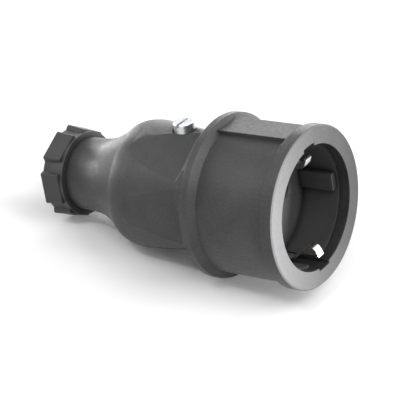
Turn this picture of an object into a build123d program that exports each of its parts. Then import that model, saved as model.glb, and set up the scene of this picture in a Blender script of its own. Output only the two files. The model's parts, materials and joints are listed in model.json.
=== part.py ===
from build123d import *
import math
import os

# An earthed rubber coupling socket with a gland nut, in millimetres and degrees.
# It is built along its mating axis: the mouth lies at X = 0 and faces +X, the gland
# is at the -X end, +Z is the side of the housing screw. At the end the whole part is
# tipped to the way it lies: on the back edge of its flange and on its gland nut.

# Clearances
SLIDE = 0.15                # between moulded pieces that slide together
LOOSE = 0.3                 # between pieces that only have to clear
SPRING_GAP = 0.1            # between a contact sleeve and its spring
THREAD_GAP = 0.1            # between a screw and its hole, both drawn plain
OVER = 1.0                  # how far a cutter reaches past the face it opens

# Rubber housing, outside. Stations are distances back from the mouth.
MOUTH_R = 20.5
RIM_R = 26.5
RIM_LENGTH = 4.2
RIM_EDGE = 0.5
BARREL_R = 25.0
FLANGE_FRONT = 29.2
FLANGE_WIDTH = 4.9
FLANGE_BAND = 2.9           # its outermost band, behind the sloping front
FLANGE_R = 27.3
FLANGE_EDGE = 0.5
BODY_R = 21.7
SHOULDER_TOP = 60.0
CREASE = 69.0
CREASE_R = 19.5
NECK_START = 90.0
NECK_R = 12.6
NECK_END = 91.9

# Finger facets on the body and the flat strip on the barrel
FACETS = 6
FACET_SETBACK = 3.7         # round body between the flange and the facets
FACET_DEPTH = 2.4           # at the front, where a facet ends in a short slope
FACET_END = 62.5
FACET_CORNER = 1.0
STRIP_WIDTH = 11.0
STRIP_HEIGHT = 25.7

# Rubber housing, inside
LIP_LENGTH = 3.6
CHAMBER_END = 59.5
CABLE_DUCT = 68.0
DUCT_R = 6.5

# Thread spigot, seal and gland nut
SPIGOT_R = 11.6
SPIGOT_END = 97.0
SEAL_SEAT_R = 9.0
SEAL_SEAT_DEPTH = 6.5
CABLE_R = 5.0
NUT_COLLAR = 1.3
NUT_COLLAR_R = 14.5
NUT_CORNER_R = 16.4
NUT_FLOOR_R = 14.9
NUT_TAPER = 0.95            # the lobes' front outline against their back one
NUT_LOBES = 6
LOBE_ANGLE = 39.5
LOBE_SLANT = 4.0
LOBE_ROUND = 0.6
NUT_WALL = 2.2
NUT_HOLE_R = 8.0
NUT_EDGE = 0.4
WASHER_THICKNESS = 0.8

# Contact carrier: the hard cup that forms the recess
RECESS_R = 19.75
RECESS_DEPTH = 17.5
CUP_WALL = 1.75
FLOOR_THICKNESS = 2.3
PIN_PITCH = 19.0
PIN_HOLE_R = 2.75
PIN_HOLE_EDGE = 0.8
RIB_WIDTH = 6.0
RIB_HEIGHT = 2.2
RIB_SETBACK = 1.0
CLIP_SLOT_WIDTH = 6.2
MOUTH_NOTCH_DEPTH = 0.9
BOSS_R = 2.6
BOSS_LENGTH = 7.0
BOSS_Y = 8.2
BOSS_Z = 10.6

# Terminal carrier: the hard block behind the cup
BLOCK_R = 17.2
BLOCK_END = 56.0
SLEEVE_POCKET_R = 4.3
TERMINAL_FRONT = 40.5
TERMINAL_POCKET_GAP = 0.2
SCREW_SHAFT_R = 2.2         # hole for the housing screw

# Pin sleeves, their springs and the terminals
SLEEVE_BORE_R = 2.45
SLEEVE_WALL = 0.8
SLEEVE_LENGTH = 18.0
SLEEVE_SLIT = 1.0
SLIT_LENGTH = 14.0
TAIL_WIDTH = 4.4
TAIL_THICKNESS = 0.9
TAIL_LENGTH = 9.0
SPRING_WALL = 0.5
SPRING_LENGTH = 4.0
SPRING_SETBACK = 2.5
SPRING_OPENING = 1.6
TERMINAL_LENGTH = 10.0
TERMINAL_WIDTH = 8.0
TERMINAL_HEIGHT = 9.0
TERMINAL_CORNER = 0.8
WINDOW = 5.2
CLAMP_SCREW_R = 1.75
CLAMP_SCREW_LENGTH = 7.0
CLAMP_HEAD_R = 2.4
CLAMP_HEAD_HEIGHT = 1.8
SMALL_SLOT = 0.8            # slot width of the screws inside
EARTH_DROP = 9.0            # the earth terminal lies this far below the axis

# Earth strap: one folded strip that makes both side contacts
STRAP_WIDTH = 3.2
STRAP_THICKNESS = 0.8
CLIP_TIP = 1.0
CLIP_TIP_R = 17.3
CLIP_APEX = 2.8             # where the two slopes of a clip would meet without the bend
CLIP_APEX_R = 12.8
CLIP_ROOT = 11.3
CLIP_ROOT_R = 19.6
CLIP_BEND = 2.2
STRAP_BEND = 1.0
STRAP_GROOVE = 2.2

# Screws
HOUSING_SCREW_X = 47.3
HOUSING_SCREW_R = 2.0
HEAD_R = 3.5
HEAD_HEIGHT = 3.2
HEAD_EDGE = 0.35
SPOT_FACE_DEPTH = 0.4
SPOT_FACE_R = 4.1
SLOT_WIDTH = 1.1
SLOT_DEPTH = 1.3
SQUARE_NUT = 7.0
SQUARE_NUT_THICKNESS = 3.0
SQUARE_NUT_Z = 10.5
CARRIER_SCREW_R = 1.1
CARRIER_SCREW_HEAD_R = 2.2
CARRIER_SCREW_HEAD = 1.6
CARRIER_SCREW_SEAT = 30.0
BUSH_WALL = 0.8

# Worked out from the sizes above
flange_back = FLANGE_FRONT + FLANGE_WIDTH
cup_front = LIP_LENGTH + SLIDE
cup_r = RECESS_R + CUP_WALL
floor_back = RECESS_DEPTH + FLOOR_THICKNESS
block_front = floor_back + SLIDE
facet_plane = BODY_R - FACET_DEPTH
facet_front = flange_back + FACET_SETBACK + FACET_DEPTH
pin_y = PIN_PITCH / 2
sleeve_r = SLEEVE_BORE_R + SLEEVE_WALL
sleeve_front = block_front + SLIDE
sleeve_back = sleeve_front + SLEEVE_LENGTH
spring_r = sleeve_r + SPRING_GAP
terminal_middle = TERMINAL_FRONT + TERMINAL_LENGTH / 2
washer_front = SPIGOT_END + LOOSE
nut_front = NECK_END + LOOSE
nut_bore_end = washer_front + WASHER_THICKNESS + SLIDE
nut_end = nut_bore_end + NUT_WALL
head_seat = BODY_R - SPOT_FACE_DEPTH
boss_places = [(BOSS_Y, BOSS_Z), (-BOSS_Y, -BOSS_Z)]
FAR = 60.0                  # reaches past the part from its middle


def turned(*stations):
    """A solid of revolution from (distance back, radius) corners."""
    outline = Polyline(*[(-x, 0, r) for x, r in stations], close=True)
    return revolve(make_face(outline), Axis.X)


def rod(radius, front, back, y=0.0, z=0.0):
    """A cylinder along the mating axis between two stations."""
    length = back - front
    return Pos(-(front + back) / 2, y, z) * Rot(0, 90, 0) * Cylinder(radius, length)


def block(front, back, y, z):
    """A box between two stations and two (low, high) pairs."""
    size = (back - front, y[1] - y[0], z[1] - z[0])
    middle = (-(front + back) / 2, (y[0] + y[1]) / 2, (z[0] + z[1]) / 2)
    return Pos(*middle) * Box(*size)


def pin(radius, x, y, z):
    """A cylinder along Z at one station, between a (low, high) pair."""
    return Pos(-x, y, (z[0] + z[1]) / 2) * Cylinder(radius, z[1] - z[0])


# Rubber housing
def housing_blank():
    """The outside of the housing, turned in one profile with its concave neck and shoulder."""
    shoulder_r = ((SHOULDER_TOP - CREASE) ** 2 + (BODY_R - CREASE_R) ** 2) / (2 * (BODY_R - CREASE_R))
    half_turn = math.asin((CREASE - SHOULDER_TOP) / shoulder_r) / 2
    shoulder_middle = (
        -SHOULDER_TOP - shoulder_r * math.sin(half_turn),
        0,
        BODY_R - shoulder_r * (1 - math.cos(half_turn)),
    )
    neck = TangentArc((-NECK_START, 0, NECK_R), (-CREASE, 0, CREASE_R), tangent=(1, 0, 0))
    shoulder = ThreePointArc(neck @ 1, shoulder_middle, (-SHOULDER_TOP, 0, BODY_R))
    front = Polyline(
        shoulder @ 1,
        (-flange_back, 0, BODY_R),
        (-flange_back, 0, FLANGE_R - FLANGE_EDGE),
        (-flange_back + FLANGE_EDGE, 0, FLANGE_R),
        (-flange_back + FLANGE_BAND, 0, FLANGE_R),
        (-FLANGE_FRONT, 0, BARREL_R),
        (-RIM_LENGTH, 0, BARREL_R),
        (-RIM_LENGTH, 0, RIM_R),
        (-RIM_EDGE, 0, RIM_R),
        (0, 0, RIM_R - RIM_EDGE),
        (0, 0, 0),
    )
    back = Polyline(
        front @ 1,
        (-SPIGOT_END, 0, 0),
        (-SPIGOT_END, 0, SPIGOT_R),
        (-NECK_END, 0, SPIGOT_R),
        (-NECK_END, 0, NECK_R),
        neck @ 0,
    )
    return revolve(make_face([neck, shoulder, front, back]), Axis.X)


def facet_cutter():
    """What one finger facet removes: a flat that rises backwards, with a short slope in front."""
    reach = BODY_R + OVER
    depth = reach - facet_plane
    length = (FACET_END - facet_front) * depth / FACET_DEPTH
    foot = (-facet_front, 0, facet_plane)
    outline = Polyline(foot, (-facet_front + depth, 0, reach), (-facet_front - length, 0, reach), close=True)
    wedge = extrude(make_face(outline), BODY_R, both=True)
    return fillet(wedge.edges().group_by(Axis.Z)[0], FACET_CORNER)


def housing_room():
    """The inside of the housing: lip, cup pocket, block chamber, cable duct and seal seat."""
    pocket_r = cup_r + SLIDE
    chamber_r = BLOCK_R + SLIDE
    return turned(
        (-LOOSE, 0),
        (-LOOSE, MOUTH_R),
        (LIP_LENGTH, MOUTH_R),
        (LIP_LENGTH, pocket_r),
        (floor_back, pocket_r),
        (floor_back, chamber_r),
        (CHAMBER_END, chamber_r),
        (CABLE_DUCT, DUCT_R),
        (SPIGOT_END - SEAL_SEAT_DEPTH, DUCT_R),
        (SPIGOT_END - SEAL_SEAT_DEPTH, SEAL_SEAT_R),
        (SPIGOT_END + LOOSE, SEAL_SEAT_R),
        (SPIGOT_END + LOOSE, 0),
    )


def housing():
    """The rubber housing in one moulding."""
    body = housing_blank()
    for number in range(FACETS):
        body -= Rot(360 / FACETS * (number + 0.5), 0, 0) * facet_cutter()
    half = STRIP_WIDTH / 2
    strip_end = flange_back - FLANGE_BAND
    body += block(RIM_LENGTH / 2, strip_end, (-half, half), (MOUTH_R, STRIP_HEIGHT))
    body -= housing_room()
    notch = CLIP_SLOT_WIDTH / 2
    notch_r = MOUTH_R + MOUTH_NOTCH_DEPTH
    notches = block(-LOOSE, LIP_LENGTH, (-notch, notch), (-notch_r, notch_r))
    body -= notches & rod(notch_r, -LOOSE, LIP_LENGTH)
    web = STRAP_WIDTH / 2 + LOOSE
    web_r = CLIP_ROOT_R + STRAP_THICKNESS / 2 + LOOSE
    body -= block(floor_back, block_front + STRAP_GROOVE, (-web, web), (-web_r, web_r))
    body -= pin(SPOT_FACE_R, HOUSING_SCREW_X, 0, (head_seat, FAR))
    bush_r = HOUSING_SCREW_R + BUSH_WALL + SLIDE
    body -= pin(bush_r, HOUSING_SCREW_X, 0, (0, FAR))
    return body


# Hard insert
def contact_carrier():
    """The cup: recess wall, floor with two pin holes, guide ribs, clip slots and screw bosses."""
    cup = turned((cup_front, 0), (floor_back, 0), (floor_back, cup_r), (cup_front, cup_r))
    cup -= rod(RECESS_R, cup_front - OVER, RECESS_DEPTH)
    rib = RIB_WIDTH / 2
    inner = RECESS_R - RIB_HEIGHT
    middle = RECESS_R + CUP_WALL / 2
    for side in (1, -1):
        span = sorted((side * inner, side * middle))
        rib_front = cup_front + RIB_SETBACK
        cup += block(rib_front, RECESS_DEPTH + FLOOR_THICKNESS / 2, span, (-rib, rib))
        hole_y = side * pin_y
        cup -= rod(PIN_HOLE_R, RECESS_DEPTH - OVER, floor_back + OVER, hole_y)
        mouth = Pos(-RECESS_DEPTH, hole_y, 0) * Rot(0, 90, 0)
        cup -= mouth * Cone(PIN_HOLE_R, PIN_HOLE_R + 2 * PIN_HOLE_EDGE, 2 * PIN_HOLE_EDGE)
    slot = CLIP_SLOT_WIDTH / 2
    root = CLIP_ROOT_R - STRAP_THICKNESS / 2 - LOOSE
    for span in ((root, cup_r + OVER), (-cup_r - OVER, -root)):
        cup -= block(cup_front - OVER, floor_back + OVER, (-slot, slot), span)
    for y, z in boss_places:
        cup += rod(BOSS_R, floor_back, floor_back + BOSS_LENGTH, y, z)
        cup -= rod(CARRIER_SCREW_R, floor_back, floor_back + BOSS_LENGTH + OVER, y, z)
    return cup


def terminal_carrier():
    """The block behind the cup, with pockets for the sleeves, the strap and the terminals."""
    body = rod(BLOCK_R, block_front, BLOCK_END)
    end = BLOCK_END + OVER
    strap = STRAP_WIDTH / 2 + LOOSE
    body -= block(block_front - OVER, block_front + STRAP_GROOVE, (-strap, strap), (-FAR, FAR))
    gap = TERMINAL_POCKET_GAP
    wide = TERMINAL_WIDTH / 2 + gap
    high = TERMINAL_HEIGHT / 2 + gap
    front = TERMINAL_FRONT - gap
    for side in (1, -1):
        y = side * pin_y
        body -= rod(SLEEVE_POCKET_R, block_front - OVER, TERMINAL_FRONT, y)
        body -= block(front, end, (y - wide, y + wide), (-high, FAR))
    earth_z = -EARTH_DROP
    body -= block(front, end, (-wide, wide), (-FAR, earth_z + high))
    tongue = STRAP_THICKNESS / 2 + LOOSE
    body -= block(block_front, TERMINAL_FRONT, (-strap, strap), (earth_z - tongue, earth_z + tongue))
    for y, z in boss_places:
        body -= rod(BOSS_R + SLIDE, block_front - OVER, floor_back + BOSS_LENGTH + SLIDE, y, z)
        body -= rod(CARRIER_SCREW_R + SLIDE, block_front, CARRIER_SCREW_SEAT + OVER, y, z)
        body -= rod(CARRIER_SCREW_HEAD_R + LOOSE, CARRIER_SCREW_SEAT, end, y, z)
    side = SQUARE_NUT / 2 + SLIDE
    nut = (SQUARE_NUT_Z - SLIDE, SQUARE_NUT_Z + SQUARE_NUT_THICKNESS + SLIDE)
    body -= block(HOUSING_SCREW_X - side, end, (-side, side), nut)
    body -= pin(SCREW_SHAFT_R, HOUSING_SCREW_X, 0, (SQUARE_NUT_Z - SQUARE_NUT, FAR))
    return body


# Pin sleeves and terminals
def pin_contact(side):
    """A split sleeve with a flat tail that reaches into its terminal."""
    y = side * pin_y
    end = sleeve_back - SLEEVE_WALL
    sleeve = rod(sleeve_r, sleeve_front, sleeve_back, y) - rod(SLEEVE_BORE_R, sleeve_front - OVER, end, y)
    slit = SLEEVE_SLIT / 2
    sleeve -= block(sleeve_front - OVER, sleeve_front + SLIT_LENGTH, (y - slit, y + slit), (-FAR, FAR))
    half = TAIL_WIDTH / 2
    low = -WINDOW / 2 + SLIDE
    tail_end = sleeve_back + TAIL_LENGTH
    sleeve += block(end, tail_end, (y - half, y + half), (low, low + TAIL_THICKNESS))
    return sleeve


def sleeve_spring(side):
    """An open steel ring that keeps the two halves of a sleeve together."""
    y = side * pin_y
    front = sleeve_front + SPRING_SETBACK
    ring = rod(spring_r + SPRING_WALL, front, front + SPRING_LENGTH, y)
    ring -= rod(spring_r, front - OVER, front + SPRING_LENGTH + OVER, y)
    half = SPRING_OPENING / 2
    outward = sorted((y, side * FAR))
    return ring - block(front - OVER, front + SPRING_LENGTH + OVER, outward, (-half, half))


def terminal(y, z, up):
    """A brass box terminal: a window for tail and wire, and a threaded hole on one side."""
    wide = TERMINAL_WIDTH / 2
    high = TERMINAL_HEIGHT / 2
    back = TERMINAL_FRONT + TERMINAL_LENGTH
    box = block(TERMINAL_FRONT, back, (y - wide, y + wide), (z - high, z + high))
    box = fillet(box.edges().filter_by(Axis.X), TERMINAL_CORNER)
    hole = WINDOW / 2
    box -= block(TERMINAL_FRONT - OVER, back + OVER, (y - hole, y + hole), (z - hole, z + hole))
    box -= pin(CLAMP_SCREW_R + THREAD_GAP, terminal_middle, y, sorted((z, z + up * FAR)))
    return box


def slotted_screw(shank_r, head_r, head_height, length, slot_width, slot_depth):
    """A cheese-head screw along Z: the head sits on Z = 0 and the shank hangs below it."""
    head = Pos(0, 0, head_height / 2) * Cylinder(head_r, head_height)
    head = chamfer(head.edges().group_by(Axis.Z)[-1], HEAD_EDGE)
    screw = head + Pos(0, 0, -length / 2) * Cylinder(shank_r, length)
    return screw - Pos(0, 0, head_height) * Box(3 * head_r, slot_width, 2 * slot_depth)


def clamp_screw(y, z, up):
    """The screw of a terminal, standing on it with its tip a little inside the window."""
    screw = slotted_screw(
        CLAMP_SCREW_R, CLAMP_HEAD_R, CLAMP_HEAD_HEIGHT, CLAMP_SCREW_LENGTH - CLAMP_HEAD_HEIGHT,
        SMALL_SLOT, CLAMP_HEAD_HEIGHT / 2,
    )
    seat = z + up * (TERMINAL_HEIGHT / 2 + CLAMP_HEAD_HEIGHT)
    return Pos(-terminal_middle, y, seat) * Rot(90 - 90 * up, 0, 0) * screw


# Earth strap
def earth_strap():
    """One strip: a humped clip above and below, the web between them and a tongue to the terminal."""
    web = block_front + STRAP_THICKNESS / 2 + SLIDE
    upper = [
        (-CLIP_TIP, 0, CLIP_TIP_R),
        (-CLIP_APEX, 0, CLIP_APEX_R),
        (-CLIP_ROOT, 0, CLIP_ROOT_R),
        (-web, 0, CLIP_ROOT_R),
    ]
    lower = [(x, y, -z) for x, y, z in reversed(upper)]
    bends = (CLIP_BEND, STRAP_BEND, STRAP_BEND, STRAP_BEND, STRAP_BEND, CLIP_BEND)
    path = FilletPolyline(*upper, *lower, radius=bends)
    section = Plane(origin=path @ 0, x_dir=(0, 1, 0), z_dir=path % 0) * Rectangle(STRAP_WIDTH, STRAP_THICKNESS)
    strap = sweep(section, path)
    half = STRAP_WIDTH / 2
    thick = STRAP_THICKNESS / 2
    z = -EARTH_DROP
    strap += block(web, terminal_middle, (-half, half), (z - thick, z + thick))
    return strap


# Screws and fixings
def housing_screw():
    """The slotted cheese-head screw through the housing wall."""
    length = head_seat - SQUARE_NUT_Z + SQUARE_NUT_THICKNESS / 2
    screw = slotted_screw(HOUSING_SCREW_R, HEAD_R, HEAD_HEIGHT, length, SLOT_WIDTH, SLOT_DEPTH)
    return Pos(-HOUSING_SCREW_X, 0, head_seat) * Rot(0, 0, 90) * screw


def housing_screw_nut():
    """The square nut in its pocket in the terminal carrier."""
    side = SQUARE_NUT / 2
    z = (SQUARE_NUT_Z, SQUARE_NUT_Z + SQUARE_NUT_THICKNESS)
    nut = block(HOUSING_SCREW_X - side, HOUSING_SCREW_X + side, (-side, side), z)
    return nut - pin(HOUSING_SCREW_R + THREAD_GAP, HOUSING_SCREW_X, 0, (0, FAR))


def screw_bush():
    """The metal bush that keeps the screw from crushing the rubber."""
    z = (BLOCK_R + SLIDE, head_seat)
    bush = pin(HOUSING_SCREW_R + BUSH_WALL, HOUSING_SCREW_X, 0, z)
    return bush - pin(HOUSING_SCREW_R + THREAD_GAP, HOUSING_SCREW_X, 0, (0, FAR))


def carrier_screws():
    """The two screws that hold the block to the cup."""
    tip = floor_back + LOOSE
    screws = Part()
    for y, z in boss_places:
        screw = slotted_screw(
            CARRIER_SCREW_R - THREAD_GAP, CARRIER_SCREW_HEAD_R, CARRIER_SCREW_HEAD, CARRIER_SCREW_SEAT - tip,
            SMALL_SLOT, CARRIER_SCREW_HEAD / 2,
        )
        screws += Pos(-CARRIER_SCREW_SEAT, y, z) * Rot(0, -90, 0) * screw
    return screws


# Gland
def nut_outline(station, share):
    """Six flat lobes and the floors between them at one station, at a share of full size."""
    corners = []
    for number in range(NUT_LOBES):
        middle = 360 / NUT_LOBES * (number + 0.5)
        for turn, radius in (
            (-LOBE_ANGLE / 2 - LOBE_SLANT, NUT_FLOOR_R),
            (-LOBE_ANGLE / 2, NUT_CORNER_R),
            (LOBE_ANGLE / 2, NUT_CORNER_R),
            (LOBE_ANGLE / 2 + LOBE_SLANT, NUT_FLOOR_R),
        ):
            angle = math.radians(middle + turn)
            corners.append((-station, share * radius * math.sin(angle), share * radius * math.cos(angle)))
    outline = make_face(Polyline(*corners, close=True))
    between = share * (NUT_CORNER_R + NUT_FLOOR_R) / 2
    tops = [corner for corner in outline.vertices() if math.hypot(corner.Y, corner.Z) > between]
    return fillet(tops, share * LOBE_ROUND)


def gland_nut():
    """The lobed nut with its front collar, its bore for the spigot and its cable hole."""
    outlines = [
        nut_outline(nut_front + NUT_COLLAR, NUT_TAPER),
        nut_outline(nut_end - NUT_EDGE, 1),
        nut_outline(nut_end, 1 - NUT_EDGE / NUT_CORNER_R),
    ]
    grip = loft(outlines, ruled=True)
    nut = grip + rod(NUT_COLLAR_R, nut_front, nut_bore_end)
    nut -= rod(SPIGOT_R + SLIDE, nut_front - OVER, nut_bore_end)
    nut -= rod(NUT_HOLE_R, nut_front, nut_end + OVER)
    return nut


def thrust_washer():
    """The plain ring between the nut and the seal."""
    back = washer_front + WASHER_THICKNESS
    ring = rod(SPIGOT_R - LOOSE, washer_front, back)
    return ring - rod(CABLE_R + WASHER_THICKNESS, washer_front - OVER, back + OVER)


def cable_seal():
    """The soft ring that closes round the cable, seated in the end of the spigot."""
    front = SPIGOT_END - SEAL_SEAT_DEPTH + SLIDE
    back = washer_front - SLIDE
    ring_r = SEAL_SEAT_R - SLIDE
    ring = turned((front, 0), (front, ring_r), (back, ring_r), (back, 0))
    ring -= rod(CABLE_R, front - OVER, back + OVER)
    return ring


def rest_tilt():
    """The angle at which the flange's back edge and the nut's two lowest corners meet a table."""
    nut_drop = -nodes["gland_nut"].bounding_box().min.Z
    nut_station = nut_end - NUT_EDGE
    flange_station = flange_back - FLANGE_EDGE
    return math.degrees(math.atan2(FLANGE_R - nut_drop, nut_station - flange_station))


nodes = {
    "housing": housing(),
    "contact_carrier": contact_carrier(),
    "terminal_carrier": terminal_carrier(),
    "live_contact": pin_contact(1),
    "neutral_contact": pin_contact(-1),
    "live_contact_spring": sleeve_spring(1),
    "neutral_contact_spring": sleeve_spring(-1),
    "live_terminal": terminal(pin_y, 0, 1),
    "neutral_terminal": terminal(-pin_y, 0, 1),
    "earth_terminal": terminal(0, -EARTH_DROP, -1),
    "live_terminal_screw": clamp_screw(pin_y, 0, 1),
    "neutral_terminal_screw": clamp_screw(-pin_y, 0, 1),
    "earth_terminal_screw": clamp_screw(0, -EARTH_DROP, -1),
    "earth_strap": earth_strap(),
    "housing_screw": housing_screw(),
    "housing_screw_nut": housing_screw_nut(),
    "housing_screw_bush": screw_bush(),
    "carrier_screws": carrier_screws(),
    "gland_nut": gland_nut(),
    "thrust_washer": thrust_washer(),
    "cable_seal": cable_seal(),
}

os.makedirs("parts", exist_ok=True)
tilt = rest_tilt()
for name, solid in nodes.items():
    export_step(Rot(0, -tilt, 0) * solid, f"parts/{name}.step")
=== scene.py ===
import json
import math

import bmesh
import bpy
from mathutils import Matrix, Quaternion, Vector


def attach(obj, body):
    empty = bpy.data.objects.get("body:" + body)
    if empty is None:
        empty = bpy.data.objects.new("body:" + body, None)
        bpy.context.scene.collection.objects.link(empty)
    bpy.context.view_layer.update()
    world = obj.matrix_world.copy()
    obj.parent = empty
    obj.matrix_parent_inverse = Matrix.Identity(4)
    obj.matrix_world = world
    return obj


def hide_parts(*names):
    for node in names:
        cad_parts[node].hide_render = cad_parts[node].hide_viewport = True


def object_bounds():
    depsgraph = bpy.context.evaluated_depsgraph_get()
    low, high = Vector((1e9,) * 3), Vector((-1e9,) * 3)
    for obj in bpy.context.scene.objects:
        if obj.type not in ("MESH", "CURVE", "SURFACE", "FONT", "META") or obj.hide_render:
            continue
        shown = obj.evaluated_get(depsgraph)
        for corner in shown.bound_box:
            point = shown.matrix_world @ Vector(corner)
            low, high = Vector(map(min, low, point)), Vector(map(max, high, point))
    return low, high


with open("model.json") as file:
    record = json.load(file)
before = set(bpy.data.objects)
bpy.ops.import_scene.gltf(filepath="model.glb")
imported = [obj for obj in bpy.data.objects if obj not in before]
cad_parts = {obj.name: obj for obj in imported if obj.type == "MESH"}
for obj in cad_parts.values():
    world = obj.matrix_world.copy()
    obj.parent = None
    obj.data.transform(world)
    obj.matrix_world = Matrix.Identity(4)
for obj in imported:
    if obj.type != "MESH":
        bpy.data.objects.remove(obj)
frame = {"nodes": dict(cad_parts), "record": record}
cad_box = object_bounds()

MM = 0.001
nodes = frame["nodes"]
mounts = {mount["name"]: mount for mount in frame["record"]["mounts"]}
MATING_AXIS = Vector(mounts["socket_mouth"]["axis"])

# Camera, fitted to the photograph: angles in degrees, distance and aim in mm, focal length in the
# photograph's pixels, clip start in metres
CAMERA_AZIMUTH = 34.17
CAMERA_ELEVATION = 30.39
CAMERA_ROLL = -0.45
CAMERA_DISTANCE = 521.5
CAMERA_AIM = (-31.21, -19.49, 2.40)
FOCAL_PIXELS = 1657.0
IMAGE_PIXELS = 400.0
SENSOR = 36.0
CLIP_START = 0.01


def set_camera():
    azimuth = math.radians(CAMERA_AZIMUTH)
    elevation = math.radians(CAMERA_ELEVATION)
    level = math.cos(elevation)
    back = Vector((math.sin(azimuth) * level, -math.cos(azimuth) * level, math.sin(elevation)))
    data = bpy.data.cameras.new("photo_camera")
    data.sensor_width = SENSOR
    data.lens = FOCAL_PIXELS / IMAGE_PIXELS * SENSOR
    data.clip_start = CLIP_START
    camera = bpy.data.objects.new("photo_camera", data)
    bpy.context.scene.collection.objects.link(camera)
    camera.location = (Vector(CAMERA_AIM) + back * CAMERA_DISTANCE) * MM
    roll = Quaternion((0, 0, 1), math.radians(CAMERA_ROLL))
    camera.rotation_euler = (back.to_track_quat("Z", "Y") @ roll).to_euler()
    bpy.context.scene.camera = camera


# Socket numbers of the Mix node: its factor, then its inputs and output for plain values and for colours
MIX_FACTOR = 0
VALUE_INPUTS, VALUE_OUTPUT = (2, 3), 0
COLOUR_INPUTS, COLOUR_OUTPUT = (6, 7), 2


def new_material(name):
    material = bpy.data.materials.new(name)
    material.use_nodes = True
    tree = material.node_tree
    return material, tree, tree.nodes["Principled BSDF"]


def object_place(tree):
    return tree.nodes.new("ShaderNodeTexCoord").outputs["Object"]


def feed(tree, slot, value):
    """Links a socket to the slot, or sets a plain value there."""
    if isinstance(value, bpy.types.NodeSocket):
        tree.links.new(value, slot)
    else:
        slot.default_value = value


def noise(tree, place, scale, detail, rough):
    node = tree.nodes.new("ShaderNodeTexNoise")
    node.inputs["Scale"].default_value = scale
    node.inputs["Detail"].default_value = detail
    node.inputs["Roughness"].default_value = rough
    tree.links.new(place, node.inputs["Vector"])
    return node.outputs["Fac"]


def ramp(tree, value, low, high, first, last):
    """first where the value is low or less, last where it is high or more, even between."""
    node = tree.nodes.new("ShaderNodeMapRange")
    node.inputs["From Min"].default_value = low
    node.inputs["From Max"].default_value = high
    node.inputs["To Min"].default_value = first
    node.inputs["To Max"].default_value = last
    tree.links.new(value, node.inputs["Value"])
    return node.outputs["Result"]


def maths(tree, operation, first, second):
    node = tree.nodes.new("ShaderNodeMath")
    node.operation = operation
    feed(tree, node.inputs[0], first)
    feed(tree, node.inputs[1], second)
    return node.outputs["Value"]


def mixed_value(tree, factor, first, second):
    """first where the factor is 0, second where it is 1."""
    node = tree.nodes.new("ShaderNodeMix")
    tree.links.new(factor, node.inputs[MIX_FACTOR])
    for slot, value in zip(VALUE_INPUTS, (first, second)):
        feed(tree, node.inputs[slot], value)
    return node.outputs[VALUE_OUTPUT]


def mixed_colour(tree, factor, first, second):
    """first where the factor is 0, second where it is 1; each is a socket or three numbers."""
    node = tree.nodes.new("ShaderNodeMix")
    node.data_type = "RGBA"
    tree.links.new(factor, node.inputs[MIX_FACTOR])
    for slot, colour in zip(COLOUR_INPUTS, (first, second)):
        feed(tree, node.inputs[slot], (*colour, 1) if isinstance(colour, tuple) else colour)
    return node.outputs[COLOUR_OUTPUT]


def bump(tree, height, strength, depth, normal):
    """Relief of so many mm on top of an earlier normal."""
    node = tree.nodes.new("ShaderNodeBump")
    node.inputs["Strength"].default_value = strength
    node.inputs["Distance"].default_value = depth * MM
    tree.links.new(height, node.inputs["Height"])
    tree.links.new(normal, node.inputs["Normal"])
    return node.outputs["Normal"]


EDGE_SAMPLES = 8


def rounded_edges(tree, radius):
    """The small radius, in mm, that moulding or tumbling leaves on every edge."""
    node = tree.nodes.new("ShaderNodeBevel")
    node.samples = EDGE_SAMPLES
    node.inputs["Radius"].default_value = radius * MM
    return node.outputs["Normal"]


# Painted shade fills a spot whose surroundings within this reach, in mm, are open by the first share or
# less, and leaves one where they are open by the second share or more
CREVICE_REACH = 3.5
CREVICE_SHARES = (0.45, 0.92)
CREVICE_SAMPLES = 8


def unshaded_mask(tree):
    """0 deep in a corner, which gets painted shade, 1 out in the open."""
    node = tree.nodes.new("ShaderNodeAmbientOcclusion")
    node.samples = CREVICE_SAMPLES
    node.inputs["Distance"].default_value = CREVICE_REACH * MM
    return ramp(tree, node.outputs["AO"], *CREVICE_SHARES, 0, 1)


def station(tree, place):
    """Distance along the mating axis from the mouth, in metres, negative towards the gland."""
    node = tree.nodes.new("ShaderNodeVectorMath")
    node.operation = "DOT_PRODUCT"
    node.inputs[1].default_value = MATING_AXIS
    tree.links.new(place, node.inputs[0])
    return node.outputs["Value"]


# Moulded rubber and plastic. A noise's scale is in cycles per metre, its depth in mm,
# and a band is the stretch of its values that becomes the full contrast.
MIDDLE_BAND = (0.35, 0.65)
WIDE_BAND = (0.3, 0.7)
BLOTCH_SCALE = 90
SWELL_SCALE = 120
SWELL_STRENGTH = 0.15
SWELL_DEPTH = 0.4
GRAIN_DEPTH = 0.2
GLOSS_GRAIN = 0.6
GLOSS_SPREAD = 0.08
# Near-black painted shade for corners and recesses, and the roughness there
PAINTED_SHADE = (0.004, 0.004, 0.004)
CORNER_ROUGHNESS = 0.9


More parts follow.
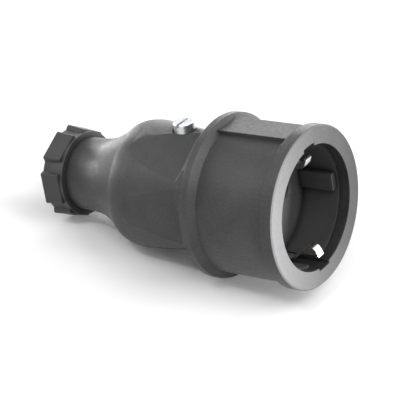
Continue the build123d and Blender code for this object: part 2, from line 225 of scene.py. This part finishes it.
def moulded(name, dark, light, roughness, specular, grain, strength, edge):
    """Blotchy colour, uneven gloss, painted shade and more roughness in corners, a spark-eroded grain and a
    slight swell; edge in mm.
    """
    material, tree, shader = new_material(name)
    place = object_place(tree)
    blotch = noise(tree, place, BLOTCH_SCALE, detail=4, rough=0.55)
    speck = noise(tree, place, grain, detail=2, rough=0.6)
    mottle = maths(tree, "ADD", ramp(tree, blotch, *MIDDLE_BAND, 0, 0.5),
                   ramp(tree, speck, *MIDDLE_BAND, 0, 0.5))
    # Painted shade: corners and recesses, found by ambient occlusion, are darkened to near black and made
    # rougher
    unshaded = unshaded_mask(tree)
    colour = mixed_colour(tree, unshaded, PAINTED_SHADE, mixed_colour(tree, mottle, dark, light))
    tree.links.new(colour, shader.inputs["Base Color"])
    uneven = noise(tree, place, grain * GLOSS_GRAIN, detail=3, rough=0.6)
    gloss = ramp(tree, uneven, *WIDE_BAND, roughness - GLOSS_SPREAD, roughness + GLOSS_SPREAD)
    tree.links.new(mixed_value(tree, unshaded, CORNER_ROUGHNESS, gloss), shader.inputs["Roughness"])
    swell = noise(tree, place, SWELL_SCALE, detail=2, rough=0.5)
    normal = bump(tree, swell, SWELL_STRENGTH, SWELL_DEPTH, rounded_edges(tree, edge))
    tree.links.new(bump(tree, speck, strength, GRAIN_DEPTH, normal), shader.inputs["Normal"])
    shader.inputs["Specular IOR Level"].default_value = specular
    return material


# The painted sheen on the housing's front face: where its pale grey starts and where it is full, in mm along
# the mating axis from the mouth, and how it fades from the near side of the rim, at -Y, to the far one
SHEEN_START = -0.5
SHEEN_FULL = -0.35
PAINTED_SHEEN = (0.27, 0.27, 0.275)
SHEEN_SIDE = 26.0
SHEEN_LEAST = 0.2
SHEEN_FADE = 2.2
SHEEN_NOISE_SCALE = 1300
SHEEN_NOISE_BAND = (0.3, 0.65)
SHEEN_NOISE_LEAST = 0.8


def paint_front_sheen(material):
    """Paints a pale grey sheen on the front face, strongest on its near side, broken up by noise."""
    tree = material.node_tree
    base_colour = tree.nodes["Principled BSDF"].inputs["Base Color"]
    place = object_place(tree)
    front = ramp(tree, station(tree, place), SHEEN_START * MM, SHEEN_FULL * MM, 0, 1)
    split = tree.nodes.new("ShaderNodeSeparateXYZ")
    tree.links.new(place, split.inputs["Vector"])
    side = ramp(tree, split.outputs["Y"], -SHEEN_SIDE * MM, SHEEN_SIDE * MM, 1, SHEEN_LEAST)
    near = maths(tree, "POWER", side, SHEEN_FADE)
    sheen_noise = ramp(tree, noise(tree, place, SHEEN_NOISE_SCALE, detail=4, rough=0.7), *SHEEN_NOISE_BAND, SHEEN_NOISE_LEAST, 1)
    amount = maths(tree, "MULTIPLY", front, maths(tree, "MULTIPLY", near, sheen_noise))
    # The painted sheen, mixed into the base colour
    sheened = mixed_colour(tree, amount, base_colour.links[0].from_socket, PAINTED_SHEEN)
    tree.links.new(sheened, base_colour)


# Plated and drawn metal
METAL_EDGE = 0.12
BRUSH_SCALE = 1500
BRUSH_STRENGTH = 0.05
BRUSH_DEPTH = 0.05
PATCH_SCALE = 300
PATCH_BAND = (0.4, 0.7)
METAL_SMOOTHER = 0.08
METAL_ROUGHER = 0.12


def metal(name, colour, dull, roughness, stretch=(1, 1, 1)):
    """Faint brushing, drawn out by the stretch, and dull patches."""
    material, tree, shader = new_material(name)
    place = object_place(tree)
    stretched = tree.nodes.new("ShaderNodeMapping")
    stretched.inputs["Scale"].default_value = stretch
    tree.links.new(place, stretched.inputs["Vector"])
    lines = noise(tree, stretched.outputs["Vector"], BRUSH_SCALE, detail=4, rough=0.7)
    patches = ramp(tree, noise(tree, place, PATCH_SCALE, detail=3, rough=0.6), *PATCH_BAND, 0, 1)
    tree.links.new(mixed_colour(tree, patches, colour, dull), shader.inputs["Base Color"])
    gloss = ramp(tree, lines, *WIDE_BAND, roughness - METAL_SMOOTHER, roughness + METAL_ROUGHER)
    tree.links.new(gloss, shader.inputs["Roughness"])
    normal = bump(tree, lines, BRUSH_STRENGTH, BRUSH_DEPTH, rounded_edges(tree, METAL_EDGE))
    tree.links.new(normal, shader.inputs["Normal"])
    shader.inputs["Metallic"].default_value = 1.0
    return material


rubber = moulded("rubber", dark=(0.006, 0.006, 0.0063), light=(0.030, 0.030, 0.031),
                 roughness=0.44, specular=0.52, grain=2100, strength=0.55, edge=0.16)
insulator = moulded("insulator", dark=(0.034, 0.034, 0.035), light=(0.056, 0.056, 0.058),
                    roughness=0.55, specular=0.40, grain=2200, strength=0.35, edge=0.20)
nut_plastic = moulded("nut_plastic", dark=(0.012, 0.012, 0.0125), light=(0.020, 0.020, 0.021),
                      roughness=0.46, specular=0.55, grain=2400, strength=0.25, edge=0.25)
seal_rubber = moulded("seal_rubber", dark=(0.010, 0.010, 0.010), light=(0.018, 0.018, 0.019),
                      roughness=0.60, specular=0.50, grain=1800, strength=0.20, edge=0.20)
zinc = metal("zinc", (0.60, 0.61, 0.62), (0.50, 0.51, 0.53), roughness=0.30)
nickel = metal("nickel", (0.80, 0.77, 0.72), (0.68, 0.64, 0.58), roughness=0.25, stretch=(1, 4, 1))
brass = metal("brass", (0.75, 0.58, 0.30), (0.60, 0.44, 0.22), roughness=0.30)
steel = metal("steel", (0.45, 0.46, 0.48), (0.33, 0.34, 0.36), roughness=0.35)
# Painted sheen on the rubber's front face
paint_front_sheen(rubber)

finishes = {
    "rubber_black": rubber,
    "insulator_grey": insulator,
    "nut_plastic": nut_plastic,
    "seal_rubber": seal_rubber,
    "zinc_steel": zinc,
    "earth_metal": nickel,
    "contact_brass": brass,
    "spring_steel": steel,
}


def finish_nodes():
    for row in frame["record"]["subparts"]:
        piece = nodes[row["node"]]
        piece.data.materials.clear()
        piece.data.materials.append(finishes[row["material_slot"]])


# Housing with the fine form of its shoulder: nearly straight, rounded off at its back edge, then the
# concave neck. Each curve has four control points, as distance back from the mouth and radius, in mm.
SHOULDER_CURVE = [(60.0, 21.7), (67.46, 21.7), (67.96, 20.3), (68.04, 20.0)]
NECK_CURVE = [(68.04, 20.0), (78.08, 13.43), (81.0, 12.6), (90.0, 12.6)]
CURVE_STEPS = 60

# The stretch that is reshaped, behind the finger facets, and the slightly longer one that is cut
RESHAPED_FROM = 62.6
RESHAPED_TO = 90.0
CUT_FROM = 61.1
CUT_TO = 90.2

# The housing's inner faces lie within these radii, in front of the neck and in it
NECK_FROM = 69.2
INNER_BODY_R = 18.5
INNER_NECK_R = 12.3

# Tolerances in metres for points that coincide and points on a cut, and the angle in degrees of a sharp edge
SAME_PLACE = 1e-6
ON_CUT = 1e-7
CREASE_ANGLE = 8


def evenly(first, step, count):
    return [first + step * number for number in range(count)]


# Rings cut into the old faces so that they can follow the curves, closest at the shoulder's back edge
EDGE_RINGS = [67.9, 67.98, 68.04, 68.3, 68.8]
RINGS = evenly(62.7, 0.6, 6) + evenly(66.2, 0.22, 8) + EDGE_RINGS + evenly(69.5, 1.2, 17)


def curve_points(corners):
    """Points of the cubic curve with these four control points."""
    points = []
    for step in range(CURVE_STEPS + 1):
        t = step / CURVE_STEPS
        weights = ((1 - t) ** 3, 3 * (1 - t) ** 2 * t, 3 * (1 - t) * t ** 2, t ** 3)
        points.append(tuple(sum(w * corner[i] for w, corner in zip(weights, corners)) for i in (0, 1)))
    return points


def radius_at(back, points):
    for (near, near_radius), (far, far_radius) in zip(points, points[1:]):
        if near <= back <= far:
            return near_radius + (far_radius - near_radius) * (back - near) / (far - near)


def back_and_radius(vert):
    """A vertex's distance back from the mouth and from the mating axis, in mm."""
    along = vert.co.dot(MATING_AXIS)
    return -along / MM, (vert.co - MATING_AXIS * along).length / MM


def on_outside(vert):
    back, radius = back_and_radius(vert)
    inner = INNER_BODY_R if back < NECK_FROM else INNER_NECK_R
    return CUT_FROM < back < CUT_TO and radius > inner


def cut_ring(form, back):
    """Cuts the outer faces of the stretch where the ring crosses them."""
    faces = [face for face in form.faces if all(on_outside(vert) for vert in face.verts)]
    edges = dict.fromkeys(edge for face in faces for edge in face.edges)
    verts = dict.fromkeys(vert for face in faces for vert in face.verts)
    bmesh.ops.bisect_plane(form, geom=[*verts, *edges, *faces], dist=ON_CUT,
                           plane_co=MATING_AXIS * (-back * MM), plane_no=MATING_AXIS)


def refined_housing():
    points = curve_points(SHOULDER_CURVE) + curve_points(NECK_CURVE)[1:]
    form = bmesh.new()
    form.from_mesh(nodes["housing"].data)
    bmesh.ops.remove_doubles(form, verts=form.verts, dist=SAME_PLACE)
    for back in RINGS:
        cut_ring(form, back)
    for vert in form.verts:
        back, radius = back_and_radius(vert)
        if RESHAPED_FROM < back < RESHAPED_TO and on_outside(vert):
            centre = MATING_AXIS * (-back * MM)
            vert.co = centre + (vert.co - centre) * (radius_at(back, points) / radius)
    bmesh.ops.triangulate(form, faces=form.faces)
    mesh = bpy.data.meshes.new("housing_shell")
    form.to_mesh(mesh)
    form.free()
    mesh.shade_smooth()
    mesh.set_sharp_from_angle(angle=math.radians(CREASE_ANGLE))
    mesh.materials.append(rubber)
    shell = bpy.data.objects.new("housing_shell", mesh)
    bpy.context.scene.collection.objects.link(shell)
    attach(shell, "root")
    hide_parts("housing")


# Floor, with its half width in metres, and light
FLOOR_HALF = 3.0
FLOOR_WHITE = (0.97, 0.97, 0.97, 1)
STUDIO_WHITE = (1, 1, 1, 1)

# Each soft sun: azimuth from +X, elevation and width in degrees, and its share, where 1 alone lights a card
# that faces the sun up to the card's own colour
SUNS = [
    ("back_right_low", 30, 8, 15, 0.96),
    ("back_low", 90, 8, 15, 0.11),
    ("back_left_low", 120, 8, 15, 0.15),
    ("left_back_low", 150, 8, 15, 0.32),
    ("left_low", -172, 10, 18, 0.42),
    ("right_mid", 0, 30, 30, 0.26),
    ("back_right_mid", 60, 30, 30, 0.08),
    ("back_mid", 90, 30, 30, 0.10),
    ("front_right_mid", -30, 30, 30, 0.08),
    ("front_mid", -60, 30, 30, 0.09),
    ("right_high", 0, 55, 30, 0.26),
    ("back_left_high", 120, 55, 30, 0.08),
    ("front_right_high", -30, 55, 30, 0.09),
    ("front_high", -60, 55, 30, 0.17),
    ("front_left_high", -120, 55, 30, 0.06),
    ("left_high", -150, 55, 30, 0.05),
    ("front_key", -95, 55, 5, 0.15),
]


def make_floor():
    mesh = bpy.data.meshes.new("floor")
    corners = [(-FLOOR_HALF, -FLOOR_HALF, 0), (FLOOR_HALF, -FLOOR_HALF, 0),
               (FLOOR_HALF, FLOOR_HALF, 0), (-FLOOR_HALF, FLOOR_HALF, 0)]
    mesh.from_pydata(corners, [], [(0, 1, 2, 3)])
    floor = bpy.data.objects.new("floor", mesh)
    floor.location = (0, 0, cad_box[0].z)
    bpy.context.scene.collection.objects.link(floor)
    material, _, shader = new_material("floor_white")
    shader.inputs["Base Color"].default_value = FLOOR_WHITE
    shader.inputs["Roughness"].default_value = 1.0
    shader.inputs["Specular IOR Level"].default_value = 0.0
    mesh.materials.append(material)


def make_suns():
    for name, azimuth, elevation, width, share in SUNS:
        data = bpy.data.lights.new(name, "SUN")
        data.angle = math.radians(width)
        data.energy = math.pi * share
        sun = bpy.data.objects.new(name, data)
        turn, rise = math.radians(azimuth), math.radians(elevation)
        level = math.cos(rise)
        towards = Vector((math.cos(turn) * level, math.sin(turn) * level, math.sin(rise)))
        sun.rotation_euler = towards.to_track_quat("Z", "Y").to_euler()
        bpy.context.scene.collection.objects.link(sun)


def make_world():
    """A white studio that the camera and whatever mirrors it see; the suns do the lighting."""
    world = bpy.data.worlds.new("studio")
    world.use_nodes = True
    tree = world.node_tree
    background = tree.nodes["Background"]
    background.inputs["Color"].default_value = STUDIO_WHITE
    ray = tree.nodes.new("ShaderNodeLightPath").outputs
    seen = maths(tree, "MAXIMUM", ray["Is Camera Ray"], ray["Is Glossy Ray"])
    seen = maths(tree, "MAXIMUM", seen, ray["Is Transmission Ray"])
    tree.links.new(seen, background.inputs["Strength"])
    bpy.context.scene.world = world


finish_nodes()
refined_housing()
set_camera()
make_floor()
make_suns()
make_world()
bpy.context.scene.view_settings.view_transform = "Standard"
